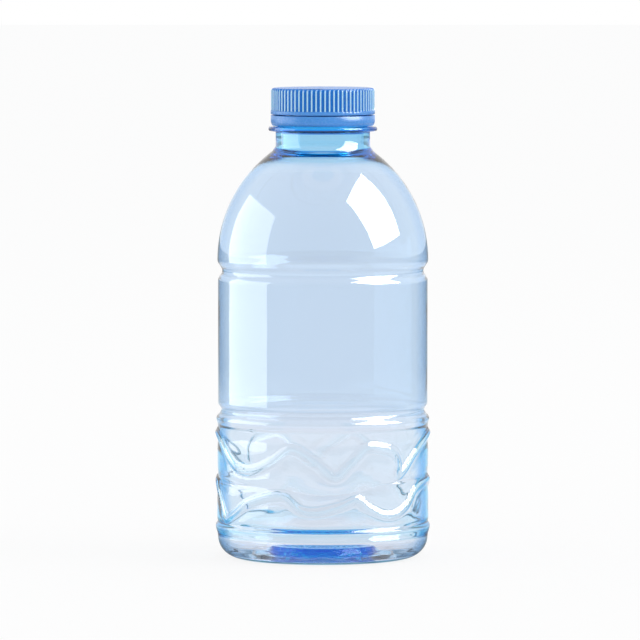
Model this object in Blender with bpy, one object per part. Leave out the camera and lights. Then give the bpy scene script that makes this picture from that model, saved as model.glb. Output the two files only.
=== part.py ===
"""A small clear water bottle: one blow-moulded body, a ribbed screw cap and its loose tamper band.

Metres, +Z up. The origin is on the standing surface, under the middle of the bottle, and -Y is the front.
"""

import math

import bmesh
import bpy

# Facets round the axis. Each count divides the next, so that rings can be bridged.
NECK_FACETS = 36
BODY_FACETS = 72
CAP_RIBS = 72

# How closely curves are stepped: angles in degrees on the heel, and numbers of rings
HEEL_ANGLES = (0, 22, 45, 68)
INNER_HEEL_ANGLES = (0, 40)
FLUTE_RINGS = 2
DOME_RINGS = 8
INNER_DOME_RINGS = 5
SHARP_ANGLE = 35

# Running and seating clearance between separate pieces
CLEARANCE = 0.0003

# Body: its main height and diameter, then the rise from each level to the next, from the floor up, and how
# far each level stands out from the main diameter. The label panel takes the height that the others leave.
BOTTLE_H = 0.1402
BODY_D = 0.0636
STAND_D = 0.0500
HEEL_H = 0.0065
HEEL_OUT = -0.0001
BASE_BEAD_RISE = 0.0033
BASE_BEAD_OUT = 0.0006
GRIP_FOOT_RISE = 0.0014
GRIP_FOOT_OUT = 0.0001
LOWER_BULGE_RISE = 0.0078
LOWER_BULGE_OUT = 0.0002
WAIST_RISE = 0.0087
WAIST_OUT = -0.00005
UPPER_BULGE_RISE = 0.0091
UPPER_BULGE_OUT = 0.0002
NOTCH_RISE = 0.0032
NOTCH_OUT = 0.0001
HOOP_RISE = 0.0021
HOOP_OUT = 0.00035
LOW_GROOVE_RISE = 0.0026
LOW_GROOVE_OUT = -0.0012
PANEL_FOOT_RISE = 0.0021
PANEL_OUT = -0.0002
HIGH_GROOVE_RISE = 0.0028
HIGH_GROOVE_OUT = -0.0015
DOME_FOOT_RISE = 0.0033
DOME_ARC_R = 0.0407

# Walls. The dome's grows with this power of the height, so that only its top is thick.
WALL = 0.0004
GRIP_WALL = 0.0006
HEEL_WALL = 0.0005
DOME_WALL_POWER = 8

# Two wavy ridges round the grip. Each key is a crest, a trough or a bend: its azimuth in degrees from
# the front, and its share of the wave's height. The keys cover one mould half, and the other repeats them.
MOULD_TURN = 180.0
UPPER_WAVE_BASE = 0.0264
UPPER_WAVE_H = 0.0114
UPPER_WAVE = ((-90, 1.0), (-46, 0.13), (-17, 0.76), (6, 0.03), (25, 0.78), (37, 0.72), (47, 0.0), (71, 0.82))
LOWER_WAVE_BASE = 0.0134
LOWER_WAVE_H = 0.0102
LOWER_WAVE = ((-90, 1.0), (-64, 0.0), (-25, 0.73), (-6, 0.32), (18, 0.66), (39, 0.18), (64, 0.94))
RIDGE_W = 0.0040
RIDGE_H = 0.0006
# Where each ring of a ridge lies, in half widths from its middle line, and its share of the ridge's height
RIDGE_SECTION = ((-1.0, 0.0), (-0.3, 1.0), (0.3, 1.0), (1.0, 0.0))

# Base: a pushed-up middle with a thick, ringed core that ends in a steep edge, and radial flutes round it
STAND_W = 0.0022
PUNT_FLANK_W = 0.0016
PUNT_FLANK_H = 0.0008
CORE_D = 0.0300
CORE_UNDER_H = 0.0008
CORE_DISH = 0.0005
CORE_T = 0.0028
CORE_EDGE_W = 0.0014
BASE_WALL = 0.0008
RING_PITCH = 0.00375
RING_RELIEF = 0.0002
FLUTES = 12
FLUTE_RELIEF = 0.0005

# Neck and finish: the finish's diameter, which the bore, neck, rings and cap follow
FINISH_D = 0.0266
FINISH_H = 0.0100
FINISH_WALL = 0.0009
NECK_OUT = 0.0009
NECK_H = 0.0053
NECK_FILLET = 0.0008
SUPPORT_OUT = 0.0031
SUPPORT_H = 0.0014
SUPPORT_EDGE = 0.0003
RIM_FILLET = 0.0003
LOCK_BEAD_Z = 0.0023
LOCK_BEAD_H = 0.0012
LOCK_BEAD_OUT = 0.0008
LOCK_BEAD_LEAD = 0.0003

# Tamper band, as wide as the cap
BAND_H = 0.0031
BAND_WALL = 0.0010
BAND_TAPER = 0.0005
BAND_TAPER_H = 0.0015
BAND_LIP_H = 0.0007
BAND_LIP_SLOPE_H = 0.0004

# Cap
CAP_WALL = 0.0013
CAP_TOP_T = 0.0013
CAP_LIP_H = 0.0011
RIB_DEPTH = 0.0005
RIB_SET_IN = 0.0001
CAP_EDGE_R = 0.0010
CAP_EDGE_BEND = 0.0003
EDGE_RIB_DEPTH = 0.0003
PLUG_H = 0.0024
PLUG_WALL = 0.0009
PLUG_BULGE = 0.0003

# Radii worked out from the sizes above, and the levels, each as its rise and radius
BODY_R = BODY_D / 2
FINISH_R = FINISH_D / 2
BORE_R = FINISH_R - FINISH_WALL
NECK_R = FINISH_R + NECK_OUT
SKIRT_R = FINISH_R + LOCK_BEAD_OUT + CLEARANCE
CAP_R = SKIRT_R + CAP_WALL
LEVELS_BELOW_PANEL = (
    (HEEL_H, BODY_R + HEEL_OUT),
    (BASE_BEAD_RISE, BODY_R + BASE_BEAD_OUT),
    (GRIP_FOOT_RISE, BODY_R + GRIP_FOOT_OUT),
    (LOWER_BULGE_RISE, BODY_R + LOWER_BULGE_OUT),
    (WAIST_RISE, BODY_R + WAIST_OUT),
    (UPPER_BULGE_RISE, BODY_R + UPPER_BULGE_OUT),
    (NOTCH_RISE, BODY_R + NOTCH_OUT),
    (HOOP_RISE, BODY_R + HOOP_OUT),
    (LOW_GROOVE_RISE, BODY_R + LOW_GROOVE_OUT),
    (PANEL_FOOT_RISE, BODY_R + PANEL_OUT),
)
LEVELS_ABOVE_PANEL = (
    (HIGH_GROOVE_RISE, BODY_R + HIGH_GROOVE_OUT),
    (DOME_FOOT_RISE, BODY_R),
)
DOME_H = math.sqrt(DOME_ARC_R**2 - (DOME_ARC_R - (BODY_R - NECK_R)) ** 2)
HEIGHT_OVER_DOME = NECK_H + SUPPORT_H + FINISH_H
OTHER_RISES = sum(rise for rise, _ in LEVELS_BELOW_PANEL + LEVELS_ABOVE_PANEL)
PANEL_H = BOTTLE_H - OTHER_RISES - DOME_H - HEIGHT_OVER_DOME
LEVELS = LEVELS_BELOW_PANEL + ((PANEL_H, BODY_R + PANEL_OUT),) + LEVELS_ABOVE_PANEL
HEEL_LEVEL = 0
GRIP_FOOT_LEVEL = 2
NOTCH_LEVEL = 6


def level_heights():
    """Height of each level above the floor."""
    heights = []
    z = 0.0
    for rise, _ in LEVELS:
        z += rise
        heights.append(z)
    return heights


HEIGHTS = level_heights()
DOME_Z = HEIGHTS[-1]
NECK_Z = DOME_Z + DOME_H
SUPPORT_Z = NECK_Z + NECK_H
SUPPORT_TOP = SUPPORT_Z + SUPPORT_H
MOUTH_Z = SUPPORT_TOP + FINISH_H
BAND_Z = SUPPORT_TOP + CLEARANCE
CAP_Z = BAND_Z + BAND_H + CLEARANCE
CAP_CEILING = MOUTH_Z + CLEARANCE
CAP_TOP = CAP_CEILING + CAP_TOP_T


def ease(share):
    """Goes from 0 to 1 with a level start and end."""
    return (1 - math.cos(math.pi * min(max(share, 0.0), 1.0))) / 2


def body_radius(z):
    """Outside radius of the body between the heel and the dome, eased from level to level."""
    for low, high, (_, low_r), (_, high_r) in zip(HEIGHTS, HEIGHTS[1:], LEVELS, LEVELS[1:]):
        if z <= high:
            return low_r + (high_r - low_r) * ease((z - low) / (high - low))
    return BODY_R


def dome_radius(z):
    """Outside radius of the dome, a plain arc."""
    rise = min(max(z - DOME_Z, 0.0), DOME_H)
    return BODY_R - DOME_ARC_R + math.sqrt(DOME_ARC_R**2 - rise**2)


def dome_wall(z):
    """Wall of the dome, measured level. It thickens towards the neck, where the plastic stretches least."""
    share = (z - DOME_Z) / DOME_H
    return WALL + (NECK_R - BORE_R - WALL) * share**DOME_WALL_POWER


def wave_share(keys, azimuth):
    """A wave's height at an azimuth in degrees, from 0 to 1, with eased flanks between its keys."""
    first = keys[0][0]
    turned = (azimuth - first) % MOULD_TURN + first
    closed = keys + ((first + MOULD_TURN, keys[0][1]),)
    for (start, low), (end, high) in zip(closed, closed[1:]):
        if turned <= end:
            return low + (high - low) * ease((turned - start) / (end - start))
    return closed[-1][1]


def wave_line(keys, base, height, azimuth):
    """Height of a wavy ridge's middle line, and how much its slope widens it upwards."""
    z = base + height * wave_share(keys, azimuth)
    step = 1.0
    rise = height * (wave_share(keys, azimuth + step) - wave_share(keys, azimuth - step))
    run = BODY_D * math.radians(step)
    return z, math.hypot(1.0, rise / run)


def ridge_places(keys, base, height, azimuth):
    """Height and outward relief of each ring of one wavy ridge at an azimuth."""
    middle, widen = wave_line(keys, base, height, azimuth)
    return [(middle + side * RIDGE_W / 2 * widen, share * RIDGE_H) for side, share in RIDGE_SECTION]


def grip_places(azimuth):
    """Height and outward relief of each of the grip's rings at an azimuth, from its foot to the notch."""
    lower = ridge_places(LOWER_WAVE, LOWER_WAVE_BASE, LOWER_WAVE_H, azimuth)
    upper = ridge_places(UPPER_WAVE, UPPER_WAVE_BASE, UPPER_WAVE_H, azimuth)
    between = (lower[-1][0] + upper[0][0]) / 2
    return lower + [(between, 0.0)] + upper


def punt_height(r, azimuth):
    """Height of the base's underside inside the standing ring, at a radius and an azimuth in degrees."""
    core_r = CORE_D / 2
    rim_r = STAND_D / 2 - STAND_W - PUNT_FLANK_W
    if r <= core_r:
        ring = RING_RELIEF * math.cos(2 * math.pi * r / RING_PITCH)
        return CORE_UNDER_H + CORE_DISH * (1 - r / core_r) + ring
    share = (r - core_r) / (rim_r - core_r)
    slope = CORE_UNDER_H + (PUNT_FLANK_H - CORE_UNDER_H) * share
    flute = math.sin(math.pi * share) * (1 + math.cos(math.radians(FLUTES * azimuth))) / 2
    return slope + FLUTE_RELIEF * flute


def base_thickness(r):
    """Thickness of the base: a thick core, ringed on top as well, with a steep edge and a thin rim."""
    core_r = CORE_D / 2
    ring = 2 * RING_RELIEF * math.cos(2 * math.pi * min(r, core_r) / RING_PITCH)
    fall = ease((r - core_r) / CORE_EDGE_W)
    return (CORE_T - ring) * (1 - fall) + BASE_WALL * fall


def plain_ring(facets, r, z):
    """A ring of one radius and one height."""
    return [(r, z)] * facets


def shaped_ring(facets, place):
    """A ring whose radius and height come from a function of the azimuth in degrees."""
    return [place(360.0 * i / facets) for i in range(facets)]


def bridge(bm, first, second):
    """Joins two rings of vertices. The faces look to the right of the way from the first to the second."""
    coarse = min(len(first), len(second))
    many = max(len(first), len(second)) // coarse
    if many == 1:
        for i in range(coarse):
            bm.faces.new((first[i], first[i - coarse + 1], second[i - coarse + 1], second[i]))
        return
    fine_second = len(second) > len(first)
    fine, wide = (second, first) if fine_second else (first, second)
    for i in range(coarse):
        start = wide[i]
        end = wide[i - coarse + 1]
        steps = [fine[(i * many + j) % len(fine)] for j in range(many + 1)]
        half = many // 2
        for j in range(many):
            corner = start if j < half else end
            face = (corner, steps[j + 1], steps[j]) if fine_second else (steps[j], steps[j + 1], corner)
            bm.faces.new(face)
        middle = steps[half]
        bm.faces.new((start, end, middle) if fine_second else (middle, end, start))


def turned_object(name, rings, start_z, end_z, material):
    """A closed solid from rings that follow its section round. Without end heights it closes on itself."""
    bm = bmesh.new()
    loops = []
    for ring in rings:
        loop = []
        for i, (r, z) in enumerate(ring):
            azimuth = 2 * math.pi * i / len(ring)
            loop.append(bm.verts.new((r * math.sin(azimuth), -r * math.cos(azimuth), z)))
        loops.append(loop)
    for first, second in zip(loops, loops[1:]):
        bridge(bm, first, second)
    if start_z is None:
        bridge(bm, loops[-1], loops[0])
    else:
        add_pole(bm, loops[0], start_z, True)
        add_pole(bm, loops[-1], end_z, False)
    mesh = bpy.data.meshes.new(name)
    bm.to_mesh(mesh)
    bm.free()
    mesh.shade_smooth()
    mesh.set_sharp_from_angle(angle=math.radians(SHARP_ANGLE))
    mesh.materials.append(material)
    made = bpy.data.objects.new(name, mesh)
    bpy.context.collection.objects.link(made)
    return made


def add_pole(bm, loop, z, starts):
    """Closes a ring to a point on the axis."""
    pole = bm.verts.new((0.0, 0.0, z))
    for i, vert in enumerate(loop):
        after = loop[i - len(loop) + 1]
        bm.faces.new((pole, after, vert) if starts else (vert, after, pole))


def base_rings(inside):
    """Rings of the base from the middle outwards, on its underside or on its top."""
    count = round(CORE_D / RING_PITCH)
    core_r = CORE_D / 2
    flutes_r = core_r + CORE_EDGE_W
    flute_step = (STAND_D / 2 - STAND_W - PUNT_FLANK_W - flutes_r) / FLUTE_RINGS

    def place_at(r):
        lift = base_thickness(r) if inside else 0.0
        return lambda azimuth: (r, punt_height(r, azimuth) + lift)

    rings = [shaped_ring(NECK_FACETS, place_at(core_r * i / count)) for i in range(1, count + 1)]
    rings += [shaped_ring(BODY_FACETS, place_at(flutes_r + flute_step * i)) for i in range(FLUTE_RINGS + 1)]
    return rings


def heel_rings(wall, angles):
    """Rings of the heel's quarter ellipse, from the standing ring outwards, set in by a wall."""
    reach = BODY_R + HEEL_OUT - STAND_D / 2 - wall
    rings = []
    for angle in angles:
        turn = math.radians(angle)
        r = STAND_D / 2 + reach * math.sin(turn)
        z = HEEL_H - (HEEL_H - wall) * math.cos(turn)
        rings.append(plain_ring(BODY_FACETS, r, z))
    return rings


def grip_rings(wall):
    """Rings of the grip that follow its two wavy ridges, set in by a wall."""

    def place_at(index):
        def place(azimuth):
            z, relief = grip_places(azimuth)[index]
            return body_radius(z) - wall + relief, z

        return place

    return [shaped_ring(BODY_FACETS, place_at(i)) for i in range(len(grip_places(0.0)))]


def level_rings(wall, levels):
    """Plain rings at some of the body's levels, set in by a wall."""
    return [plain_ring(BODY_FACETS, LEVELS[i][1] - wall, HEIGHTS[i]) for i in levels]


def dome_rings(steps, inside):
    """Rings of the dome above its foot, up to the neck's fillet."""
    sweep = math.asin((DOME_H - NECK_FILLET) / DOME_ARC_R)
    rings = []
    for i in range(1, steps + 1):
        z = DOME_Z + DOME_ARC_R * math.sin(sweep * i / steps)
        wall = dome_wall(z) if inside else 0.0
        facets = BODY_FACETS if i < steps else NECK_FACETS
        rings.append(plain_ring(facets, dome_radius(z) - wall, z))
    return rings


def finish_rings():
    """Outside of the neck from its root to the rim: support ring, lock bead, thread land and mouth."""
    ring_r = FINISH_R + SUPPORT_OUT
    lock_r = FINISH_R + LOCK_BEAD_OUT
    lock_z = SUPPORT_TOP + LOCK_BEAD_Z
    outline = (
        (NECK_R, NECK_Z + NECK_FILLET),
        (NECK_R, SUPPORT_Z - SUPPORT_EDGE),
        (NECK_R + SUPPORT_EDGE, SUPPORT_Z),
        (ring_r - SUPPORT_EDGE, SUPPORT_Z + SUPPORT_EDGE / 2),
        (ring_r, SUPPORT_Z + SUPPORT_H / 2),
        (ring_r - SUPPORT_EDGE, SUPPORT_TOP),
        (FINISH_R, SUPPORT_TOP),
        (FINISH_R, lock_z - LOCK_BEAD_H / 2),
        (lock_r, lock_z - LOCK_BEAD_LEAD),
        (lock_r, lock_z),
        (FINISH_R, lock_z + LOCK_BEAD_H / 2),
        (FINISH_R, MOUTH_Z - RIM_FILLET),
        (FINISH_R - RIM_FILLET, MOUTH_Z),
        (BORE_R + RIM_FILLET, MOUTH_Z),
        (BORE_R, MOUTH_Z - RIM_FILLET),
        (BORE_R, NECK_Z),
    )
    return [plain_ring(NECK_FACETS, r, z) for r, z in outline]


def make_bottle(material):
    """The blow-moulded body, one wall from the underside of its base over the rim to the inside."""
    upper_levels = range(NOTCH_LEVEL, len(LEVELS))
    inner_stand_r = STAND_D / 2 - STAND_W
    outside = base_rings(False)
    outside.append(plain_ring(BODY_FACETS, inner_stand_r, 0.0))
    outside += heel_rings(0.0, HEEL_ANGLES)
    outside += level_rings(0.0, range(HEEL_LEVEL, GRIP_FOOT_LEVEL + 1))
    outside += grip_rings(0.0)
    outside += level_rings(0.0, upper_levels)
    outside += dome_rings(DOME_RINGS, False)
    outside += finish_rings()
    inside = base_rings(True)
    inside.append(plain_ring(BODY_FACETS, inner_stand_r, HEEL_WALL))
    inside += heel_rings(HEEL_WALL, INNER_HEEL_ANGLES)
    inside += level_rings(GRIP_WALL, (HEEL_LEVEL, GRIP_FOOT_LEVEL))
    inside += grip_rings(GRIP_WALL)
    inside += level_rings(WALL, upper_levels)
    inside += dome_rings(INNER_DOME_RINGS, True)
    under = punt_height(0.0, 0.0)
    return turned_object("bottle", outside + inside[::-1], under, under + base_thickness(0.0), material)


def make_tamper_band(material):
    """The loose ring left on the neck, with an inner lip that stays caught under the lock bead."""
    inner_r = CAP_R - BAND_WALL
    lip_r = FINISH_R + CLEARANCE
    top = BAND_Z + BAND_H
    outline = (
        (CAP_R - BAND_TAPER, BAND_Z),
        (CAP_R - BAND_TAPER / 4, BAND_Z + BAND_TAPER_H / 2),
        (CAP_R, BAND_Z + BAND_TAPER_H),
        (CAP_R, top),
        (inner_r, top),
        (inner_r, BAND_Z + BAND_LIP_H + BAND_LIP_SLOPE_H),
        (lip_r, BAND_Z + BAND_LIP_H),
        (lip_r, BAND_Z),
    )
    inner_start = 4
    rings = []
    for i, (r, z) in enumerate(outline):
        rings.append(plain_ring(BODY_FACETS if i < inner_start else NECK_FACETS, r, z))
    return turned_object("tamper_band", rings, None, None, material)


def rib_ring(crest_r, valley_r, z):
    """A ring with a crest and a valley for each rib, all of one width with the flanks between them."""
    corners = (valley_r, crest_r, crest_r, valley_r)
    return [(r, z) for _ in range(CAP_RIBS) for r in corners]


def make_cap(material):
    """The ribbed screw cap: skirt, lip, rounded top edge, top plate and the plug that seals the bore."""
    plug_r = BORE_R - CLEARANCE
    plug_root_r = plug_r - PLUG_BULGE
    plug_in_r = plug_root_r - PLUG_WALL
    lip_top = CAP_Z + CAP_LIP_H
    edge_z = CAP_TOP - CAP_EDGE_R
    inside = (
        (plug_in_r, CAP_CEILING),
        (plug_in_r, CAP_CEILING - PLUG_H),
        (plug_root_r, CAP_CEILING - PLUG_H),
        (plug_r, CAP_CEILING - PLUG_H / 2),
        (plug_root_r, CAP_CEILING),
        (SKIRT_R, CAP_CEILING),
        (SKIRT_R, CAP_Z),
    )
    rings = [plain_ring(NECK_FACETS, r, z) for r, z in inside]
    rings.append(plain_ring(BODY_FACETS, CAP_R, CAP_Z))
    rings.append(plain_ring(BODY_FACETS, CAP_R, lip_top))
    crest_r = CAP_R - RIB_SET_IN
    for crest, sink, z in (
        (crest_r, RIB_DEPTH, lip_top),
        (crest_r, RIB_DEPTH, edge_z),
        (crest_r - CAP_EDGE_BEND, EDGE_RIB_DEPTH, CAP_TOP - CAP_EDGE_BEND),
    ):
        rings.append(rib_ring(crest, crest - sink, z))
    rings.append(plain_ring(BODY_FACETS, crest_r - CAP_EDGE_R, CAP_TOP))
    return turned_object("cap", rings, CAP_CEILING, CAP_TOP, material)


def plastic(name, colour, roughness, clear, ior):
    """A moulded plastic, clear or solid."""
    made = bpy.data.materials.new(name)
    made.use_nodes = True
    shader = made.node_tree.nodes["Principled BSDF"]
    shader.inputs["Base Color"].default_value = (*colour, 1.0)
    shader.inputs["Roughness"].default_value = roughness
    shader.inputs["Transmission Weight"].default_value = clear
    shader.inputs["IOR"].default_value = ior
    shader.inputs["Metallic"].default_value = 0.0
    return made


def main():
    for old in list(bpy.data.objects):
        bpy.data.objects.remove(old, do_unlink=True)
    clear_blue = plastic("clear_blue_plastic", (0.72, 0.86, 0.98), roughness=0.03, clear=1.0, ior=1.575)
    cap_blue = plastic("sky_blue_plastic", (0.13, 0.42, 0.86), roughness=0.32, clear=0.0, ior=1.5)
    band_blue = plastic("sky_blue_band_plastic", (0.15, 0.45, 0.88), roughness=0.30, clear=0.0, ior=1.5)
    make_bottle(clear_blue)
    make_tamper_band(band_blue)
    make_cap(cap_blue)


main()
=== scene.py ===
import math

import bmesh
import bpy
import numpy as np
from mathutils import Matrix, Vector


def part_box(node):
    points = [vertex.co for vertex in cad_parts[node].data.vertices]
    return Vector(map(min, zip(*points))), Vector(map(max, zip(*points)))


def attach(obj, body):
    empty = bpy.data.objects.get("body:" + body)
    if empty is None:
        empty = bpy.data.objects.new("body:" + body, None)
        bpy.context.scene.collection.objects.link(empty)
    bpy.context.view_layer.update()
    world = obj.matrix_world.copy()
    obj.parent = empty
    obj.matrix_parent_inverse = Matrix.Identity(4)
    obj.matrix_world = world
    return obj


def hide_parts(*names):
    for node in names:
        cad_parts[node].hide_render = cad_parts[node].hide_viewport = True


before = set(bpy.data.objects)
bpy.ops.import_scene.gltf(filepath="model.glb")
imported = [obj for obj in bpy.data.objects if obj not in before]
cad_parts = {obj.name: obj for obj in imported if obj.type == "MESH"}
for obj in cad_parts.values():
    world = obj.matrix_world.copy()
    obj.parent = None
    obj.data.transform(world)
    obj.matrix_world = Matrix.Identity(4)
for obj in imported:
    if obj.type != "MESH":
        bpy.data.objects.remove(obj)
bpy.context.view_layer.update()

# Facets round the axis, and steps along each stretch of a section or line
BODY_FACETS = 160
GRIP_FACETS = 320
GRIP_ROWS = 64
RIBS = 72
RIB_FACETS = 10
LINE_STEPS = 10
CORE_STEPS = 14
CORE_EDGE_STEPS = 7
PUNT_STEPS = 4
HEEL_STEPS = 10
INNER_HEEL_STEPS = 5
BEAD_STEPS = 5
LEVEL_STEPS = 6
DOME_STEPS = 20
THREAD_STEPS = 30
EDGE_STEPS = 3
BULGE_STEPS = 8
CAP_EDGE_STEPS = 7
SKIRT_STEPS = 5
CAP_TOP_STEPS = 6
SHARP_ANGLE = math.radians(50)

# Heights and outside diameters of the body's levels, in metres. The grip is a little narrower than in the
# CAD model, so that its ridges stay within the CAD box.
LEVELS = (
    (0.0065, 0.0634),
    (0.0098, 0.0648),
    (0.0112, 0.0635),
    (0.0190, 0.0634),
    (0.0277, 0.0632),
    (0.0368, 0.0634),
    (0.0400, 0.0635),
    (0.0421, 0.0643),
    (0.0447, 0.0612),
    (0.0468, 0.0632),
    (0.0839, 0.0632),
    (0.0867, 0.0606),
    (0.0900, 0.0636),
)
# How far the extra rings of a straight stretch stand from its ends
LEVEL_GUARD = 0.0005
FOOT_LEVEL = 2
NOTCH_LEVEL = 6
GRIP_FOOT = LEVELS[FOOT_LEVEL][0]
NOTCH = LEVELS[NOTCH_LEVEL][0]
DOME_Z, DOME_D = LEVELS[-1]
DOME_ARC_R = 0.0407
WALL = 0.0004
GRIP_WALL = 0.0006
HEEL_WALL = 0.0005
# Height and wall of the heel inside, from the foot up, and past the bead, which it doesn't follow
HEEL_WALLS = (
    (0.0008, 0.00050),
    (0.0016, 0.00050),
    (0.0026, 0.00050),
    (0.0036, 0.00050),
    (0.0048, 0.00050),
    (0.0065, 0.00050),
    (0.0090, 0.00055),
    (0.0112, 0.00060),
)
FOOT_INNER_R = 0.0250

# The grip's lines: azimuth in degrees from the front, and height in metres. They cover one mould half,
# and the other half repeats them.
MOULD_TURN = 180.0
UPPER_LINE = (
    (-90, 0.0378), (-74, 0.0358), (-62, 0.0312), (-52, 0.0283), (-41, 0.0282), (-29, 0.0310), (-17, 0.0350),
    (-5, 0.0316), (6.5, 0.0268), (15, 0.0306), (24, 0.0352), (33, 0.0352), (41.5, 0.0337), (45.4, 0.0300),
    (44.6, 0.0264), (50, 0.0281), (60, 0.0329), (73, 0.0362),
)
MIDDLE_LINE = (
    (-90, 0.0238), (-60, 0.0233), (-38, 0.0233), (-15, 0.0221), (1, 0.0214), (20, 0.0224), (42, 0.0248),
    (66, 0.0246),
)
LOWER_LINE = (
    (-90, 0.0236), (-77, 0.0200), (-66, 0.0130), (-56, 0.0144), (-45, 0.0180), (-30, 0.0207), (-20, 0.0208),
    (-12, 0.0170), (-3, 0.0164), (9, 0.0180), (18.5, 0.0200), (25, 0.0174), (34, 0.0150), (43, 0.0150),
    (52, 0.0174), (61, 0.0222), (75, 0.0238),
)
RIDGE_HALF_W = 0.0019
RIDGE_RELIEF = 0.0008
CREASE_HALF_W = 0.0009
CREASE_RELIEF = 0.0004
CREASE_FAINT = 0.2
CREASE_START = math.radians(38)
CREASE_FADE = math.radians(10)
PILLOW_REACH = 0.0040
PILLOW_RELIEF = 0.00022
PILLOW_TOP = 0.0364
GRIP_RIM_H = 0.0012
INSIDE_FOLLOWS = 0.6

# Base
STAND_D = 0.0500
STAND_W = 0.0022
HEEL_H = 0.0065
PUNT_FLANK_W = 0.0016
PUNT_FLANK_H = 0.0008
CORE_D = 0.0304
CORE_UNDER_H = 0.0008
CORE_DISH = 0.0003
CORE_T = 0.0034
CORE_BOWL = 0.0016
CORE_EDGE_W = 0.0014
CORE_RING_FADE = 3
BASE_WALL = 0.0008
RING_PITCH = 0.00375
RING_RELIEF = 0.0002
RAYS = 24
RAY_RELIEF = 0.00012
FLUTES = 12
FLUTE_RELIEF = 0.0005

# Neck and finish
NECK_D = 0.0284
NECK_H = 0.0053
NECK_FILLET = 0.0008
# The dome's inside is drawn in by up to this much near the neck, until it turns softly into the bore
NECK_EXTRA = 0.0037
NECK_EXTRA_POWER = 20
NECK_TURN = 0.0006
SUPPORT_D = 0.0328
SUPPORT_H = 0.0014
SUPPORT_EDGE = 0.0003
# Shares of its half height by which the support ring's edge is rounded, outwards and upwards
SUPPORT_W_SHARE = 0.6
SUPPORT_H_SHARE = 0.95
FINISH_D = 0.0266
BORE_D = 0.0248
RIM_FILLET = 0.0003
LOCK_Z = 0.0023
LOCK_H = 0.0012
LOCK_D = 0.0282
LOCK_LEAN = 0.7
THREAD_STARTS = 3
THREAD_SWEEP = 112.0
THREAD_FADE = 12.0
THREAD_LEAD = 0.0081
THREAD_Z = 0.0043
THREAD_W = 0.0011
THREAD_RELIEF = 0.00062
THREAD_FLAT = 0.25
THREAD_FLANK = 0.9

# Cap and tamper band
GAP = 0.0003
BEVEL = 0.0001
CAP_D = 0.0314
CAP_WALL = 0.0013
CAP_TOP_T = 0.0013
CAP_LIP_H = 0.0011
CAP_LIP_BEVEL = 0.00015
CAP_FOOT_W = 0.0002
CAP_THREAD_FOOT = 0.0003
CAP_THREAD_Z = 0.0012
CAP_THREAD_SHARE = 0.6
CAP_EDGE_R = 0.0010
CAP_MIDDLE_R = 0.001
RIB_DEPTH = 0.0005
RIB_START = 0.2
RIB_CREST = 0.18
RIB_FLANK = 0.42
PLUG_H = 0.0024
PLUG_WALL = 0.0009
PLUG_BULGE = 0.0003
PLUG_BEVEL = 0.0002
BAND_D = 0.0314
BAND_H = 0.0031
BAND_WALL = 0.0010
BAND_TAPER = 0.0005
BAND_TAPER_H = 0.0015
BAND_LIP_H = 0.0007
BAND_LIP_TOP = 0.00105

# Colours of the clear plastic, as light that one wall lets through, and of its inside, the cap and the floor
WALL_TINT = (0.855, 0.884, 0.968)
GRIP_TINT = (0.985, 0.930, 0.970)
FINISH_TINT = (0.06, 0.52, 0.97)
# Edge blues: partly the longer way through the plastic, partly painted shade of the dark edge lines
NECK_EDGE_TINT_AND_SHADE = (0.08, 0.52, 0.97)
EDGE_TINT_AND_SHADE = (0.13, 0.44, 0.84)
GRIP_EDGE_TINT_AND_SHADE = (0.015, 0.46, 0.96)
# Core colours: deep blue of the thick base, with painted rings of light and shade
CORE_DEEP_AND_RING_SHADE = (0.001, 0.52, 0.86)
CORE_RING_PAINTED_LIGHT = (0.34, 0.90, 1.0)
INSIDE_COLOUR = (0.30, 0.85, 0.985)
INSIDE_DENSITY = 330.0
# Cap colours: painted shade in the valleys between the ribs, crests paler partly as thin milky plastic and
# partly as painted light; the deep blue also gives the cloudy tone
CAP_DEEP_AND_VALLEY_SHADE = (0.003, 0.20, 0.68)
CAP_PALE_CREST_LIGHT = (0.55, 0.86, 1.0)
LIP_TONE = (0.08, 0.31, 0.76)
FLOOR_COLOUR = (0.93, 0.94, 0.95)
WHITE = (1.0, 1.0, 1.0)

# Where the clear plastic's and the cap's tints and painted shade change, by height, radius and slant, and how
# strongly
CORE_TINT_R = (0.0172, 0.0164)
CORE_TINT_Z = (0.0095, 0.0080)
CORE_STRIPE_H = 0.0011
CORE_STRIPES = (-0.6, 0.9)
HEEL_TINT_Z = (0.0085, 0.0105)
HEEL_TINT_SHARE = 0.5
GRIP_TINT_FADE = 0.003
FINISH_TINT_FADE = 0.0006
NECK_TINT_BELOW = (0.012, 0.003)
EDGE_FACING = (0.55, 0.95)
EDGE_SHARE = 0.85
GRIP_EDGE_FACING = (0.52, 0.74)
RIB_SHADE_SHARE = 0.75

# The plastics: refraction, milkiness and roughness, and the size and strength of their unevenness
PET_IOR = 1.575
SMUDGE_SCALE = 60.0
SMUDGE_DETAIL = 4.0
SMUDGE_GRAIN = 0.6
SMUDGE_SHOWS = (0.45, 0.8)
SMUDGE_ROUGHNESS = (0.008, 0.05)
SWELL_SCALE = 90.0
SWELL_DETAIL = 1.0
SWELL_STRENGTH = 0.12
SWELL_H = 0.0004
CAP_IOR = 1.5
CAP_MILK = 0.2
CAP_MILK_COLOUR = (0.25, 0.55, 1.0)
CAP_MILK_DEPTH = 0.0005
CLOUD_SCALE = 160.0
CLOUD_DETAIL = 3.0
CLOUD_SHARE = 0.16
GRAIN_SCALE = 2400.0
GRAIN_DETAIL = 2.0
GRAIN_ROUGHNESS = (0.2, 0.34)
GRAIN_STRENGTH = 0.05
GRAIN_H = 0.0001

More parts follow.
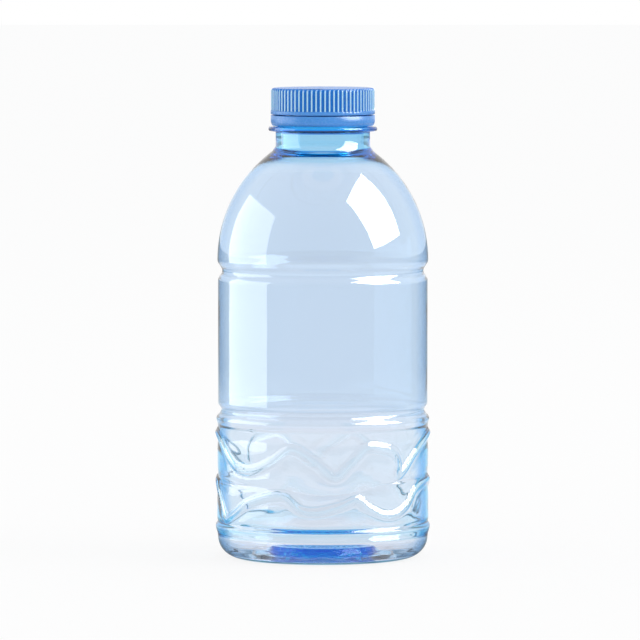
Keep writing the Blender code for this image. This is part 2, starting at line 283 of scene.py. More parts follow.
# Light of the floor and the room, as it is seen, mirrored once and let through. Distances are from the axis.
SEEN_SHARE = 0.85
DIFFUSE_LIGHT = 0.85
ONE_MIRROR = 1.0
ONE_MIRROR_SLACK = 0.25
THIN_WALL_CROSSINGS = 2.5
TABLE_FADE = (0.45, 0.80)
TABLE_FAR = 0.3
SHADE_FADE = (0.045, 0.14)
SHADE_NEAR = 0.1
ROOM_FRONT_TO_BACK = (-0.9, 0.6)
ROOM_DARKEST = 0.3
FAR_WALL_CROSSINGS = (2.0, 3.0)
FAR_WALL_SHARE = 0.3

# Lamps: the middle, the directions across and up, the width and the height, in metres, and the brightness
RIGHT_BOX = ((0.957, -0.274, 0.777), (0.19, 0.974, 0.123), (-0.576, -0.024, 0.817), 0.92, 1.05)
LEFT_PANEL = ((-0.42, 0.038, 0.17), (0.087, -0.996, 0.0), (0.0, 0.0, 1.0), 0.5, 0.4)
RIGHT_BOX_MIRRORED = 12.0
RIGHT_BOX_LIGHT = 2.4
LEFT_PANEL_MIRRORED = 2.2
LEFT_PANEL_LIGHT = 0.5

# Camera and floor: focal length and sensor in millimetres, the rest in metres
LENS = 364.0
SENSOR_W = 36.0
CAMERA_X = -0.00085
CAMERA_DISTANCE = 1.95
CAMERA_H = 0.2
CAMERA_AIM_H = 0.0717
CAMERA_REACH = 50.0
FLOOR_HALF_W = 8.0

# How often light may bounce in all or go through, and how often it may be mirrored
BOUNCES = 24
GLOSSY_BOUNCES = 12

DOME_H = math.sqrt(DOME_ARC_R**2 - (DOME_ARC_R - (DOME_D - NECK_D) / 2) ** 2)
NECK_Z = DOME_Z + DOME_H
SUPPORT_Z = NECK_Z + NECK_H
SUPPORT_TOP = SUPPORT_Z + SUPPORT_H
MOUTH_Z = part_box("bottle")[1][2]
BAND_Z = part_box("tamper_band")[0][2]
CAP_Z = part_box("cap")[0][2]
CAP_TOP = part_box("cap")[1][2]
CAP_CEILING = CAP_TOP - CAP_TOP_T


def ease(share):
    """Goes from 0 to 1 with a level start and end."""
    return (1 - math.cos(math.pi * min(max(share, 0.0), 1.0))) / 2


def spread(start, end, count):
    """Values from just after start up to end."""
    return [start + (end - start) * i / count for i in range(1, count + 1)]


def quarter(count):
    """Angles of a quarter turn, both ends included."""
    return [0.0] + spread(0.0, math.pi / 2, count)


def curve(before, start, end, after, t):
    """A place between two points of a smooth curve through four."""
    bend = (2 * before - 5 * start + 4 * end - after) * t * t
    twist = (3 * start - before - 3 * end + after) * t * t * t
    return (2 * start + (end - before) * t + bend + twist) / 2


def body_radius(z):
    for (low, low_d), (high, high_d) in zip(LEVELS, LEVELS[1:]):
        if z <= high:
            return (low_d + (high_d - low_d) * ease((z - low) / (high - low))) / 2
    return DOME_D / 2


def dome_radius(z):
    rise = min(max(z - DOME_Z, 0.0), DOME_H)
    return DOME_D / 2 - DOME_ARC_R + math.sqrt(DOME_ARC_R**2 - rise**2)


def dome_inner_radius(z):
    """Inside of the dome: an even wall that thickens into the neck and turns softly into the bore."""
    share = (z - DOME_Z) / DOME_H
    over = dome_radius(z) - WALL - NECK_EXTRA * share**NECK_EXTRA_POWER - BORE_D / 2
    return BORE_D / 2 + NECK_TURN * math.log1p(math.exp(over / NECK_TURN))


def smooth_line(points):
    """A closed smooth line through points on one mould half, as places along the girth and heights."""
    radius = DOME_D / 2
    places = []
    count = len(points)
    for turn in (-MOULD_TURN, 0.0, MOULD_TURN):
        places += [(math.radians(azimuth + turn) * radius, z) for azimuth, z in points]
    places = np.array(places)
    line = []
    for i in range(count - 4, 2 * count + 4):
        for step in range(LINE_STEPS):
            line.append(curve(places[i - 1], places[i], places[i + 1], places[i + 2], step / LINE_STEPS))
    return np.array(line)


def line_distance(girth, heights, line):
    """Distance from each place on the unrolled grip to a line."""
    near = np.full(girth.shape, 1.0)
    for start, end in zip(line, line[1:]):
        way = end - start
        share = ((girth - start[0]) * way[0] + (heights - start[1]) * way[1]) / (way @ way)
        share = np.clip(share, 0.0, 1.0)
        gap = np.hypot(girth - start[0] - share * way[0], heights - start[1] - share * way[1])
        near = np.minimum(near, gap)
    return near


def bump(distance, half):
    """A rounded ridge, 1 high on its line and level at its feet."""
    return (1 + np.cos(np.pi * np.clip(distance / half, 0.0, 1.0))) / 2


def grip_relief(azimuths, heights):
    """How far the grip stands out at a grid of azimuths and heights: ridges, creases and soft pillows."""
    turned = (azimuths + MOULD_TURN / 2) % MOULD_TURN - MOULD_TURN / 2
    girth, up = np.meshgrid(np.radians(turned) * DOME_D / 2, heights)
    upper = line_distance(girth, up, smooth_line(UPPER_LINE))
    middle = line_distance(girth, up, smooth_line(MIDDLE_LINE))
    lower = line_distance(girth, up, smooth_line(LOWER_LINE))
    ridge = np.maximum(bump(upper, RIDGE_HALF_W), bump(lower, RIDGE_HALF_W))
    ends = np.clip((np.abs(girth) / (DOME_D / 2) - CREASE_START) / CREASE_FADE, 0.0, 1.0)
    crease = bump(middle, CREASE_HALF_W) * (1 - ridge) * (CREASE_FAINT + (1 - CREASE_FAINT) * ends)
    edge = np.minimum(np.abs(up - PILLOW_TOP), np.minimum(upper, lower) - RIDGE_HALF_W / 2)
    edge = np.clip(np.minimum(edge, middle), 0.0, None)
    pillow = 1 - bump(edge, PILLOW_REACH)
    pillow *= np.where(up > PILLOW_TOP, 0.0, 1.0)
    rim = np.clip(np.minimum(up - GRIP_FOOT, NOTCH - up) / GRIP_RIM_H, 0.0, 1.0)
    return (ridge * RIDGE_RELIEF - crease * CREASE_RELIEF + pillow * PILLOW_RELIEF) * np.sin(rim * np.pi / 2)


def punt_rim_radius():
    """Where the base's pushed-up middle meets the flank of the standing ring."""
    return STAND_D / 2 - STAND_W - PUNT_FLANK_W


def punt_height(r, azimuth):
    """Height of the base's underside inside the standing ring."""
    core_r = CORE_D / 2
    if r <= core_r:
        ring = RING_RELIEF * math.cos(2 * math.pi * r / RING_PITCH)
        ray = RAY_RELIEF * math.cos(math.radians(RAYS * azimuth)) * math.sin(math.pi * r / core_r)
        return CORE_UNDER_H + CORE_DISH * (1 - r / core_r) + ring + ray
    share = (r - core_r) / (punt_rim_radius() - core_r)
    slope = CORE_UNDER_H + (PUNT_FLANK_H - CORE_UNDER_H) * share
    flute = math.sin(math.pi * share) * (1 + math.cos(math.radians(FLUTES * azimuth))) / 2
    return slope + RING_RELIEF * (1 - ease(share * CORE_RING_FADE)) + FLUTE_RELIEF * flute


def base_thickness(r):
    """Thickness of the base: a thick core, ringed on top as well, with a steep edge and a thin rim."""
    core_r = CORE_D / 2
    inner = min(r, core_r)
    ring = 2 * RING_RELIEF * math.cos(2 * math.pi * inner / RING_PITCH)
    bowl = CORE_BOWL * (1 - (inner / core_r) ** 2)
    fall = ease((r - core_r) / CORE_EDGE_W)
    return (CORE_T - ring - bowl) * (1 - fall) + BASE_WALL * fall


def plain_ring(r, z):
    return [(r, z)] * BODY_FACETS


def plain_rings(outline):
    return [plain_ring(r, z) for r, z in outline]


def shaped_ring(facets, place):
    return [place(360.0 * i / facets) for i in range(facets)]


def bridge(bm, first, second):
    """Joins two rings of vertices, the same number or one a multiple of the other."""
    coarse = min(len(first), len(second))
    many = max(len(first), len(second)) // coarse
    if many == 1:
        for i in range(coarse):
            bm.faces.new((first[i], first[i - coarse + 1], second[i - coarse + 1], second[i]))
        return
    fine_second = len(second) > len(first)
    fine, wide = (second, first) if fine_second else (first, second)
    for i in range(coarse):
        start = wide[i]
        end = wide[i - coarse + 1]
        steps = [fine[(i * many + j) % len(fine)] for j in range(many + 1)]
        half = many // 2
        for j in range(many):
            corner = start if j < half else end
            face = (corner, steps[j + 1], steps[j]) if fine_second else (steps[j], steps[j + 1], corner)
            bm.faces.new(face)
        middle = steps[half]
        bm.faces.new((start, end, middle) if fine_second else (middle, end, start))


def turned_piece(name, rings, start_z, end_z):
    """A closed solid from rings that follow its section round. Without end heights it closes on itself."""
    bm = bmesh.new()
    loops = []
    for ring in rings:
        loop = []
        for i, (r, z) in enumerate(ring):
            azimuth = 2 * math.pi * i / len(ring)
            loop.append(bm.verts.new((r * math.sin(azimuth), -r * math.cos(azimuth), z)))
        loops.append(loop)
    for first, second in zip(loops, loops[1:]):
        bridge(bm, first, second)
    if start_z is None:
        bridge(bm, loops[-1], loops[0])
    else:
        for loop, z, starts in ((loops[0], start_z, True), (loops[-1], end_z, False)):
            pole = bm.verts.new((0.0, 0.0, z))
            for i, vert in enumerate(loop):
                after = loop[i - len(loop) + 1]
                bm.faces.new((pole, after, vert) if starts else (vert, after, pole))
    mesh = bpy.data.meshes.new(name)
    bm.to_mesh(mesh)
    bm.free()
    mesh.shade_smooth()
    mesh.set_sharp_from_angle(angle=SHARP_ANGLE)
    made = bpy.data.objects.new(name, mesh)
    bpy.context.collection.objects.link(made)
    return made


def base_rings(inside):
    """Rings of the base from the middle outwards, on its underside or on its top."""
    core_r = CORE_D / 2
    edge_r = core_r + CORE_EDGE_W

    def place_at(r):
        lift = base_thickness(r) if inside else 0.0
        return lambda azimuth: (r, punt_height(r, azimuth) + lift)

    outer = spread(core_r / 2, core_r, CORE_STEPS)
    outer += spread(core_r, edge_r, CORE_EDGE_STEPS)
    outer += spread(edge_r, punt_rim_radius(), PUNT_STEPS)
    rings = [shaped_ring(BODY_FACETS // 2, place_at(r)) for r in spread(0.0, core_r / 2, CORE_STEPS)]
    rings += [shaped_ring(BODY_FACETS, place_at(r)) for r in outer]
    return rings


def flank_rings():
    """Rings of the eased slope from the base's pushed-up middle down to the standing ring."""
    rings = []
    for share in spread(0.0, 1.0, PUNT_STEPS):
        r = STAND_D / 2 - STAND_W - PUNT_FLANK_W * (1 - share)
        rings.append(plain_ring(r, PUNT_FLANK_H * (1 - ease(share))))
    return rings


def heel_rings():
    """Rings of the heel's outside, a quarter ellipse from the standing ring outwards."""
    reach = (LEVELS[0][1] - STAND_D) / 2
    rings = []
    for angle in quarter(HEEL_STEPS):
        rings.append(plain_ring(STAND_D / 2 + reach * math.sin(angle), HEEL_H * (1 - math.cos(angle))))
    return rings


def inner_heel_rings():
    """Rings of the inside of the heel and bead, a smooth curve at varying walls within the heel's ellipse."""
    reach = (LEVELS[0][1] - STAND_D) / 2
    places = [(FOOT_INNER_R, HEEL_WALL)]
    for z, wall in HEEL_WALLS:
        low = max(1 - z / HEEL_H, 0.0)
        places.append((STAND_D / 2 + reach * math.sqrt(1 - low * low) - wall, z))
    places = np.array([places[0]] + places + [places[-1]])
    rings = [plain_ring(*places[0])]
    for before, start, end, after in zip(places, places[1:], places[2:], places[3:]):
        for t in spread(0.0, 1.0, INNER_HEEL_STEPS):
            r, z = curve(before, start, end, after, t)
            rings.append(plain_ring(float(r), float(z)))
    return rings


def grip_rings(wall, follow):
    """Rings of the grip with its relief, or as much of it as the inside follows."""
    azimuths = np.arange(GRIP_FACETS) * 360.0 / GRIP_FACETS
    heights = np.array([GRIP_FOOT + (NOTCH - GRIP_FOOT) * i / GRIP_ROWS for i in range(GRIP_ROWS + 1)])
    relief = grip_relief(azimuths, heights) * follow
    return [[(body_radius(z) - wall + out, z) for out in row] for z, row in zip(heights, relief)]


def level_rings(wall, first, last, count):
    """Plain rings eased from one of the body's levels to another, without the first level itself.

    A straight stretch gets a ring close to each end, so that the light on it isn't bent."""
    rings = []
    for i in range(first, last):
        low, high = LEVELS[i][0], LEVELS[i + 1][0]
        heights = spread(low, high, count)
        if LEVELS[i][1] == LEVELS[i + 1][1]:
            heights = [low + LEVEL_GUARD, (low + high) / 2, high - LEVEL_GUARD, high]
        rings += [plain_ring(body_radius(z) - wall, z) for z in heights]
    return rings


def dome_rings(radius_at):
    sweep = math.asin((DOME_H - NECK_FILLET) / DOME_ARC_R)
    rings = []
    for angle in spread(0.0, sweep, DOME_STEPS):
        z = DOME_Z + DOME_ARC_R * math.sin(angle)
        rings.append(plain_ring(radius_at(z), z))
    return rings


def thread_relief(azimuth, z, base_z):
    """How far the thread stands out at an azimuth in degrees and a height: three short ridges that fade."""
    best = 0.0
    for start in range(THREAD_STARTS):
        along = (azimuth - start * 360.0 / THREAD_STARTS) % 360.0
        if along > THREAD_SWEEP:
            continue
        middle = base_z + THREAD_LEAD * along / 360.0
        across = abs(z - middle) / (THREAD_W / 2)
        fade = ease(along / THREAD_FADE) * ease((THREAD_SWEEP - along) / THREAD_FADE)
        best = max(best, fade * (1 - ease((across - THREAD_FLAT) / THREAD_FLANK)))
    return best * THREAD_RELIEF


def support_outline():
    """Section of the neck's wall and the support ring, up to the foot of the lock bead."""
    neck_r = NECK_D / 2
    ring_r = SUPPORT_D / 2
    land_r = FINISH_D / 2
    half = SUPPORT_H / 2
    outline = [(neck_r, NECK_Z + NECK_FILLET), (neck_r, SUPPORT_Z - SUPPORT_EDGE)]
    for angle in spread(0.0, math.pi / 2, EDGE_STEPS):
        r = neck_r + SUPPORT_EDGE * (1 - math.cos(angle))
        outline.append((r, SUPPORT_Z - SUPPORT_EDGE * (1 - math.sin(angle))))
    outline.append((ring_r - half, SUPPORT_Z + SUPPORT_EDGE / 2))
    for angle in spread(-math.pi / 2, math.pi / 2, BULGE_STEPS):
        r = ring_r - half * SUPPORT_W_SHARE * (1 - math.cos(angle))
        outline.append((r, SUPPORT_Z + half * (1 + SUPPORT_H_SHARE * math.sin(angle))))
    outline.append((ring_r - half, SUPPORT_TOP))
    outline.append((land_r + SUPPORT_EDGE, SUPPORT_TOP))
    outline.append((land_r, SUPPORT_TOP + SUPPORT_EDGE))
    return outline


def lock_outline():
    """Section of the bead that holds the tamper band, steeper below than above."""
    land_r = FINISH_D / 2
    rise = LOCK_D / 2 - land_r
    foot = SUPPORT_TOP + LOCK_Z - LOCK_H / 2
    outline = [(land_r, foot)]
    for share in spread(0.0, 1.0, BULGE_STEPS):
        outline.append((land_r + rise * math.sin(math.pi * share**LOCK_LEAN), foot + LOCK_H * share))
    return outline


def rim_outline():
    """Section of the rim and the bore, down to the dome."""
    land_r = FINISH_D / 2
    bore_r = BORE_D / 2
    outline = []
    for angle in quarter(EDGE_STEPS):
        r = land_r - RIM_FILLET * (1 - math.cos(angle))
        outline.append((r, MOUTH_Z - RIM_FILLET * (1 - math.sin(angle))))
    for angle in quarter(EDGE_STEPS):
        r = bore_r + RIM_FILLET * (1 - math.sin(angle))
        outline.append((r, MOUTH_Z - RIM_FILLET * (1 - math.cos(angle))))
    return outline + [(bore_r, NECK_Z + NECK_H / 2), (bore_r, NECK_Z)]


def finish_rings():
    """Outside of the neck from its root over the support ring, lock bead and thread to the rim and bore."""
    land_r = FINISH_D / 2
    thread_foot = SUPPORT_TOP + THREAD_Z
    thread_top = MOUTH_Z - RIM_FILLET - THREAD_W / 3
    rings = plain_rings(support_outline() + lock_outline())
    for z in spread(SUPPORT_TOP + LOCK_Z + LOCK_H / 2, thread_top, THREAD_STEPS):
        place = lambda azimuth: (land_r + thread_relief(azimuth, z, thread_foot), z)
        rings.append(shaped_ring(BODY_FACETS, place))
    return rings + plain_rings(rim_outline())


def make_bottle():
    """The clear body, one wall from the underside of its base over the rim to the inside."""
    last = len(LEVELS) - 1
    outside = base_rings(False)
    outside += flank_rings()
    outside += heel_rings()
    outside += level_rings(0.0, 0, FOOT_LEVEL, BEAD_STEPS)
    outside += grip_rings(0.0, 1.0)
    outside += level_rings(0.0, NOTCH_LEVEL, last, LEVEL_STEPS)
    outside += dome_rings(dome_radius)
    outside += finish_rings()
    inside = base_rings(True)
    inside.append(plain_ring(STAND_D / 2 - STAND_W, HEEL_WALL))
    inside += inner_heel_rings()
    inside += grip_rings(GRIP_WALL, INSIDE_FOLLOWS)
    inside += level_rings(WALL, NOTCH_LEVEL, last, LEVEL_STEPS)
    inside += dome_rings(dome_inner_radius)
    under = punt_height(0.0, 0.0)
    return turned_piece("bottle_body", outside + inside[::-1], under, under + base_thickness(0.0))


def make_band():
    """The loose ring on the neck, with the lip inside that stays caught under the lock bead."""
    outer_r = BAND_D / 2
    inner_r = outer_r - BAND_WALL
    lip_r = FINISH_D / 2 + GAP
    top = BAND_Z + BAND_H
    outline = [(outer_r - BAND_TAPER, BAND_Z)]
    for share in spread(0.0, 1.0, BULGE_STEPS):
        outline.append((outer_r - BAND_TAPER * (1 - share) ** 2, BAND_Z + BAND_TAPER_H * share))
    outline.append((outer_r, top - BEVEL))
    outline.append((outer_r - BEVEL, top))
    outline.append((inner_r + BEVEL, top))
    outline.append((inner_r, top - BEVEL))
    outline.append((inner_r, BAND_Z + BAND_LIP_TOP))
    outline.append((lip_r, BAND_Z + BAND_LIP_H))
    outline.append((lip_r, BAND_Z + BEVEL))
    outline.append((lip_r + BEVEL, BAND_Z))
    return turned_piece("tamper_ring", plain_rings(outline), None, None)


def plug_outline():
    """Section of the cap's inside from the middle of its ceiling round the plug to the skirt."""
    root_r = BORE_D / 2 - GAP - PLUG_BULGE
    inner_r = root_r - PLUG_WALL
    foot = CAP_CEILING - PLUG_H
    outline = [(inner_r, CAP_CEILING), (inner_r, foot + PLUG_BEVEL)]
    outline += [(inner_r + PLUG_BEVEL, foot), (root_r - PLUG_BEVEL, foot)]
    for share in [0.0] + spread(0.0, 1.0, BULGE_STEPS):
        outline.append((root_r + PLUG_BULGE * math.sin(math.pi * share), foot + PLUG_H * share))
    outline.append((CAP_D / 2 - CAP_WALL, CAP_CEILING))
    return outline


def rib_ring(crest_r, depth, z):
    """A ring with narrow rounded crests and wide flat valleys."""
    ring = []
    for _ in range(RIBS):
        for i in range(RIB_FACETS):
            across = abs(i / RIB_FACETS - 0.5) * 2
            ring.append((crest_r - depth * ease((across - RIB_CREST) / RIB_FLANK), z))
    return ring


def rib_rings():
    """Rings of the ribbed skirt and of the rounded edge into which the ribs run out."""
    crest_r = CAP_D / 2 - BEVEL
    foot = CAP_Z + CAP_LIP_H
    rings = [rib_ring(crest_r, RIB_DEPTH * RIB_START, foot)]
    for z in [foot + BEVEL] + spread(foot + BEVEL, CAP_TOP - CAP_EDGE_R, SKIRT_STEPS):
        rings.append(rib_ring(crest_r, RIB_DEPTH, z))
    for angle in spread(0.0, math.pi / 2, CAP_EDGE_STEPS):
        fade = 1 - ease(angle / (math.pi / 2))
        r = crest_r - CAP_EDGE_R * (1 - math.cos(angle))
        rings.append(rib_ring(r, RIB_DEPTH * fade, CAP_TOP - CAP_EDGE_R * (1 - math.sin(angle))))
    return rings


def make_cap():
    """The ribbed screw cap with its lip, rounded edge, top plate, inside thread and plug."""
    skirt_r = CAP_D / 2 - CAP_WALL
    lip_r = CAP_D / 2
    thread_foot = CAP_Z + CAP_THREAD_Z
    rings = plain_rings(plug_outline())
    for z in spread(CAP_CEILING, CAP_Z + CAP_THREAD_FOOT, THREAD_STEPS):
        place = lambda azimuth: (skirt_r - CAP_THREAD_SHARE * thread_relief(azimuth, z, thread_foot), z)
        rings.append(shaped_ring(BODY_FACETS, place))
    foot = [(skirt_r + CAP_FOOT_W, CAP_Z), (lip_r - CAP_LIP_BEVEL, CAP_Z)]
    foot += [(lip_r, CAP_Z + CAP_LIP_BEVEL), (lip_r, CAP_Z + CAP_LIP_H - BEVEL)]
    rings += [[place] * (RIBS * RIB_FACETS // 3) for place in foot]
    rings += rib_rings()
    top_r = CAP_D / 2 - BEVEL - CAP_EDGE_R
    rings += plain_rings([(r, CAP_TOP) for r in spread(top_r, CAP_MIDDLE_R, CAP_TOP_STEPS)])
    return turned_piece("screw_cap", rings, CAP_CEILING, CAP_TOP)


class Nodes:
    """Short ways to build a node tree."""

    def __init__(self, tree):
        self.tree = tree

    def add(self, kind, **values):
        """A new node, with values for its sockets or settings."""
        node = self.tree.nodes.new(kind)
        for key, value in values.items():
            socket = key.replace("_", " ").title()
            if socket in node.inputs:
                node.inputs[socket].default_value = value
            else:
                setattr(node, key, value)
        return node

    def feed(self, value, socket):
        """Gives a socket a colour or a number, or joins another socket to it."""
        if isinstance(value, tuple):
            socket.default_value = (*value, 1.0)
        elif isinstance(value, float):
            socket.default_value = value
        else:
            self.tree.links.new(value, socket)

    def maths(self, operation, *values):
        node = self.add("ShaderNodeMath", operation=operation)
        for value, socket in zip(values, node.inputs):
            self.feed(value, socket)
        return node.outputs[0]

    def map(self, value, ends, low=0.0, high=1.0):
        """A value carried from one range to another and held past both ends."""
        node = self.add("ShaderNodeMapRange", from_min=ends[0], from_max=ends[1], to_min=low, to_max=high)
        self.feed(value, node.inputs["Value"])
        return node.outputs[0]

    def blend(self, share, first, second):
        """A number between two numbers or sockets."""
        node = self.add("ShaderNodeMix", data_type="FLOAT")
        for value, socket in zip((share, first, second), (node.inputs[0], node.inputs[2], node.inputs[3])):
            self.feed(value, socket)
        return node.outputs[0]

    def mix(self, share, first, second):
        """A colour between two colours or sockets."""
        node = self.add("ShaderNodeMix", data_type="RGBA")
        for value, socket in zip((share, first, second), (node.inputs[0], node.inputs[6], node.inputs[7])):
            self.feed(value, socket)
        return node.outputs[2]

    def noise(self, place, scale, detail, roughness=0.5):
        node = self.add("ShaderNodeTexNoise", scale=scale, detail=detail, roughness=roughness)
        self.feed(place, node.inputs["Vector"])
        return node.outputs["Fac"]

    def bumps(self, height, strength, distance):
        node = self.add("ShaderNodeBump", strength=strength, distance=distance)
        self.feed(height, node.inputs["Height"])
        return node.outputs["Normal"]

    def length(self, vector):
        node = self.add("ShaderNodeVectorMath", operation="LENGTH")
        self.feed(vector, node.inputs[0])
        return node.outputs["Value"]

    def height_and_radius(self, place):
        """A place's height, and its distance from the upright axis."""
        parts = self.add("ShaderNodeSeparateXYZ")
        self.feed(place, parts.inputs[0])
        flat = self.add("ShaderNodeVectorMath", operation="MULTIPLY")
        flat.inputs[1].default_value = (1.0, 1.0, 0.0)
        self.feed(place, flat.inputs[0])
        return parts.outputs["Z"], self.length(flat.outputs[0])

    def mirrored_once(self, path):
        """1 on a ray that was mirrored once, and 0 on one that wasn't or was mirrored more often."""
        return self.maths("COMPARE", path.outputs["Glossy Depth"], ONE_MIRROR, ONE_MIRROR_SLACK)


def new_material(name):
    material = bpy.data.materials.new(name)
    material.use_nodes = True
    nodes = Nodes(material.node_tree)
    return material, nodes, nodes.tree.nodes["Principled BSDF"]


def core_tone_and_painted_rings(nodes, height, radius):
    """Deep blue of the thick core, with painted rings of light and shade, and painted stripes on its edge."""
    rise = nodes.maths("MULTIPLY", height, RING_PITCH / CORE_STRIPE_H)
    reach = nodes.maths("ADD", radius, rise)
    wave = nodes.maths("COSINE", nodes.maths("MULTIPLY", reach, 2 * math.pi / RING_PITCH))
    return nodes.mix(nodes.map(wave, CORE_STRIPES), CORE_DEEP_AND_RING_SHADE, CORE_RING_PAINTED_LIGHT)


def clear_tone(nodes, height, radius):
    """The tint of the clear plastic: bluer in the finish, in the core with painted rings of light and shade,
    and on walls seen edge on, partly for the longer way through the plastic and partly as painted shade.
    """
    in_core = nodes.maths("MULTIPLY", nodes.map(radius, CORE_TINT_R), nodes.map(height, CORE_TINT_Z))
    in_grip = nodes.map(height, (NOTCH + GRIP_TINT_FADE, NOTCH))
    in_finish = nodes.map(height, (SUPPORT_Z - FINISH_TINT_FADE, SUPPORT_Z))
    near_neck = nodes.map(height, tuple(NECK_Z - below for below in NECK_TINT_BELOW))
    above_heel = nodes.map(height, HEEL_TINT_Z, HEEL_TINT_SHARE)
    # Walls seen edge on turn deeper blue: partly the longer way through the plastic, partly painted shade
    facing = nodes.add("ShaderNodeLayerWeight", blend=0.5).outputs["Facing"]
    edge = nodes.maths("MULTIPLY", nodes.map(facing, EDGE_FACING, 0.0, EDGE_SHARE), above_heel)
    grip_edge_shade = nodes.maths("MULTIPLY", in_grip, nodes.map(facing, GRIP_EDGE_FACING))
    grip_edge_shade = nodes.maths("MULTIPLY", grip_edge_shade, above_heel)
    tone = nodes.mix(in_grip, WALL_TINT, GRIP_TINT)
    tone = nodes.mix(in_core, tone, core_tone_and_painted_rings(nodes, height, radius))
    tone = nodes.mix(in_finish, tone, FINISH_TINT)
    tone = nodes.mix(edge, tone, nodes.mix(near_neck, EDGE_TINT_AND_SHADE, NECK_EDGE_TINT_AND_SHADE))
    return nodes.mix(grip_edge_shade, tone, GRIP_EDGE_TINT_AND_SHADE)


def clear_plastic():
    """Clear pale blue bottle plastic with faint smudges and a slightly uneven skin."""
    material, nodes, shader = new_material("clear_blue_pet")
    shader.inputs["Transmission Weight"].default_value = 1.0
    shader.inputs["IOR"].default_value = PET_IOR
    place = nodes.add("ShaderNodeTexCoord").outputs["Object"]
    height, radius = nodes.height_and_radius(place)
    nodes.feed(clear_tone(nodes, height, radius), shader.inputs["Base Color"])
    smudge = nodes.noise(place, SMUDGE_SCALE, SMUDGE_DETAIL, SMUDGE_GRAIN)
    nodes.feed(nodes.map(smudge, SMUDGE_SHOWS, *SMUDGE_ROUGHNESS), shader.inputs["Roughness"])
    swell = nodes.noise(place, SWELL_SCALE, SWELL_DETAIL)
    nodes.feed(nodes.bumps(swell, SWELL_STRENGTH, SWELL_H), shader.inputs["Normal"])
    inside = nodes.add("ShaderNodeVolumeAbsorption", color=(*INSIDE_COLOUR, 1.0), density=INSIDE_DENSITY)
    nodes.feed(inside.outputs["Volume"], nodes.tree.nodes["Material Output"].inputs["Volume"])
    return material


def cap_plastic(name):
    """Slightly milky moulded blue plastic, with painted shade between the ribs and paler crests, and even
    below them and on the band.
    """
    material, nodes, shader = new_material(name)
    place = nodes.add("ShaderNodeTexCoord").outputs["Object"]
    height, radius = nodes.height_and_radius(place)
    crest_r = CAP_D / 2 - BEVEL
    lip_top = CAP_Z + CAP_LIP_H
    # Painted shade in the valleys between the ribs, paler on the crests
    crest_light_and_valley_shade = nodes.map(radius, (crest_r - RIB_DEPTH * RIB_SHADE_SHARE, crest_r))
    below_ribs = nodes.map(height, (lip_top + BEVEL, lip_top))
    cloud = nodes.map(nodes.noise(place, CLOUD_SCALE, CLOUD_DETAIL), (0.0, 1.0), 0.0, CLOUD_SHARE)
    tone = nodes.mix(crest_light_and_valley_shade, CAP_DEEP_AND_VALLEY_SHADE, CAP_PALE_CREST_LIGHT)
    tone = nodes.mix(below_ribs, tone, LIP_TONE)
    nodes.feed(nodes.mix(cloud, tone, CAP_DEEP_AND_VALLEY_SHADE), shader.inputs["Base Color"])
    shader.inputs["Subsurface Weight"].default_value = CAP_MILK
    shader.inputs["Subsurface Radius"].default_value = CAP_MILK_COLOUR
    shader.inputs["Subsurface Scale"].default_value = CAP_MILK_DEPTH
    shader.inputs["IOR"].default_value = CAP_IOR
    grain = nodes.noise(place, GRAIN_SCALE, GRAIN_DETAIL)
    nodes.feed(nodes.map(grain, (0.0, 1.0), *GRAIN_ROUGHNESS), shader.inputs["Roughness"])
    nodes.feed(nodes.bumps(grain, GRAIN_STRENGTH, GRAIN_H), shader.inputs["Normal"])
    return material


def floor_material():
    """Pale floor, lifted to white for the eye and through the plastic. Mirrored once, it has a painted shadow
    round the foot, then is white, and grey far off."""
    material, nodes, shader = new_material("pale_floor")
    nodes.tree.nodes.remove(shader)
    path = nodes.add("ShaderNodeLightPath")
    reach = nodes.length(nodes.add("ShaderNodeTexCoord").outputs["Object"])
    near = nodes.map(reach, TABLE_FADE, 1.0, TABLE_FAR)
    # Painted shadow round the bottle's foot, where the floor is seen mirrored once
    shaded = nodes.map(reach, SHADE_FADE, SHADE_NEAR, 1.0)
    thin = nodes.maths("LESS_THAN", path.outputs["Transmission Depth"], THIN_WALL_CROSSINGS)
    table = nodes.blend(thin, 1.0, nodes.maths("MULTIPLY", near, shaded))
    strength = nodes.blend(nodes.mirrored_once(path), 1.0, table)
    through = nodes.maths("MAXIMUM", path.outputs["Is Glossy Ray"], path.outputs["Is Transmission Ray"])
    seen = nodes.maths("MAXIMUM", path.outputs["Is Camera Ray"], through)
    plain = nodes.add("ShaderNodeBsdfDiffuse", color=(*FLOOR_COLOUR, 1.0))
    glow = nodes.add("ShaderNodeEmission", color=(*WHITE, 1.0))
    nodes.feed(strength, glow.inputs["Strength"])
    both = nodes.add("ShaderNodeMixShader")
    nodes.feed(nodes.maths("MULTIPLY", seen, SEEN_SHARE), both.inputs[0])
    nodes.feed(plain.outputs[0], both.inputs[1])
    nodes.feed(glow.outputs[0], both.inputs[2])
    nodes.feed(both.outputs[0], nodes.tree.nodes["Material Output"].inputs["Surface"])
    return material


def make_world():
    """White all round for the eye and through the plastic, plain as light, and dimmer in reflections."""
    world = bpy.data.worlds.new("studio")
    bpy.context.scene.world = world
    world.use_nodes = True
    nodes = Nodes(world.node_tree)
    back = nodes.tree.nodes["Background"]
    path = nodes.add("ShaderNodeLightPath")
    parts = nodes.add("ShaderNodeSeparateXYZ")
    nodes.feed(nodes.add("ShaderNodeTexCoord").outputs["Generated"], parts.inputs[0])
    room = nodes.map(parts.outputs["Y"], ROOM_FRONT_TO_BACK, ROOM_DARKEST, 1.0)
    lit = nodes.blend(nodes.mirrored_once(path), 1.0, room)
    nodes.feed(nodes.blend(path.outputs["Is Diffuse Ray"], lit, DIFFUSE_LIGHT), back.inputs["Strength"])
    nodes.feed(WHITE, back.inputs["Color"])


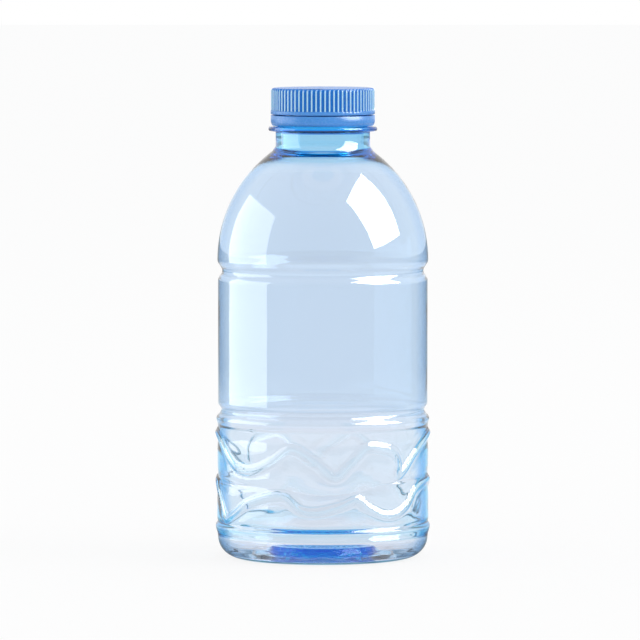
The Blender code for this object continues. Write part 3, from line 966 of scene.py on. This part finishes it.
def fade_behind(data):
    """Weakens a lamp where the far wall mirrors it, as the photo's far wall shows it only faintly."""
    data.use_nodes = True
    nodes = Nodes(data.node_tree)
    crossings = nodes.add("ShaderNodeLightPath").outputs["Transmission Depth"]
    fade = nodes.map(crossings, FAR_WALL_CROSSINGS, 1.0, FAR_WALL_SHARE)
    nodes.feed(fade, nodes.tree.nodes["Emission"].inputs["Strength"])


def area_light(name, centre, across, up, width, height, radiance, diffuse):
    """A soft box given by its middle, its two sides and its brightness. It faces away from across x up."""
    data = bpy.data.lights.new(name, "AREA")
    data.shape = "RECTANGLE"
    data.size = width
    data.size_y = height
    data.energy = radiance * math.pi * width * height
    across = Vector(across).normalized()
    outward = across.cross(Vector(up)).normalized()
    up = outward.cross(across)
    made = bpy.data.objects.new(name, data)
    turn = Matrix((across, up, outward)).transposed().to_4x4()
    made.matrix_world = Matrix.Translation(Vector(centre)) @ turn
    made.visible_camera = False
    if diffuse:
        made.visible_glossy = False
        made.visible_transmission = False
    else:
        made.visible_diffuse = False
        fade_behind(data)
    bpy.context.collection.objects.link(made)


def make_lights():
    """A soft box high on the right and a paler panel on the left, each as light and as reflection."""
    area_light("right_box_mirrored", *RIGHT_BOX, RIGHT_BOX_MIRRORED, False)
    area_light("right_box", *RIGHT_BOX, RIGHT_BOX_LIGHT, True)
    area_light("left_panel_mirrored", *LEFT_PANEL, LEFT_PANEL_MIRRORED, False)
    area_light("left_panel", *LEFT_PANEL, LEFT_PANEL_LIGHT, True)


def make_camera():
    """The photograph's view: a long lens from the front, a little above the bottle."""
    data = bpy.data.cameras.new("camera")
    data.lens = LENS
    data.sensor_width = SENSOR_W
    data.clip_end = CAMERA_REACH
    made = bpy.data.objects.new("camera", data)
    made.location = (CAMERA_X, -CAMERA_DISTANCE, CAMERA_H)
    dip = math.atan2(CAMERA_H - CAMERA_AIM_H, CAMERA_DISTANCE)
    made.rotation_euler = (math.pi / 2 - dip, 0.0, 0.0)
    bpy.context.collection.objects.link(made)
    bpy.context.scene.camera = made


def make_floor():
    mesh = bpy.data.meshes.new("floor")
    side = FLOOR_HALF_W
    corners = [(-side, -side, 0.0), (side, -side, 0.0), (side, side, 0.0), (-side, side, 0.0)]
    mesh.from_pydata(corners, [], [(0, 1, 2, 3)])
    mesh.materials.append(floor_material())
    made = bpy.data.objects.new("floor", mesh)
    bpy.context.collection.objects.link(made)


def dress(piece, node, body, material):
    """Gives a piece its finish and body, and lets it stand for its CAD node."""
    piece.data.materials.append(material)
    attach(piece, body)
    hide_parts(node)


make_camera()
make_world()
make_lights()
make_floor()
dress(make_bottle(), "bottle", "bottle_body", clear_plastic())
dress(make_band(), "tamper_band", "bottle_body", cap_plastic("band_blue"))
dress(make_cap(), "cap", "cap_body", cap_plastic("cap_blue"))

scene = bpy.context.scene
scene.view_settings.view_transform = "Standard"
scene.cycles.max_bounces = BOUNCES
scene.cycles.transmission_bounces = BOUNCES
scene.cycles.glossy_bounces = GLOSSY_BOUNCES
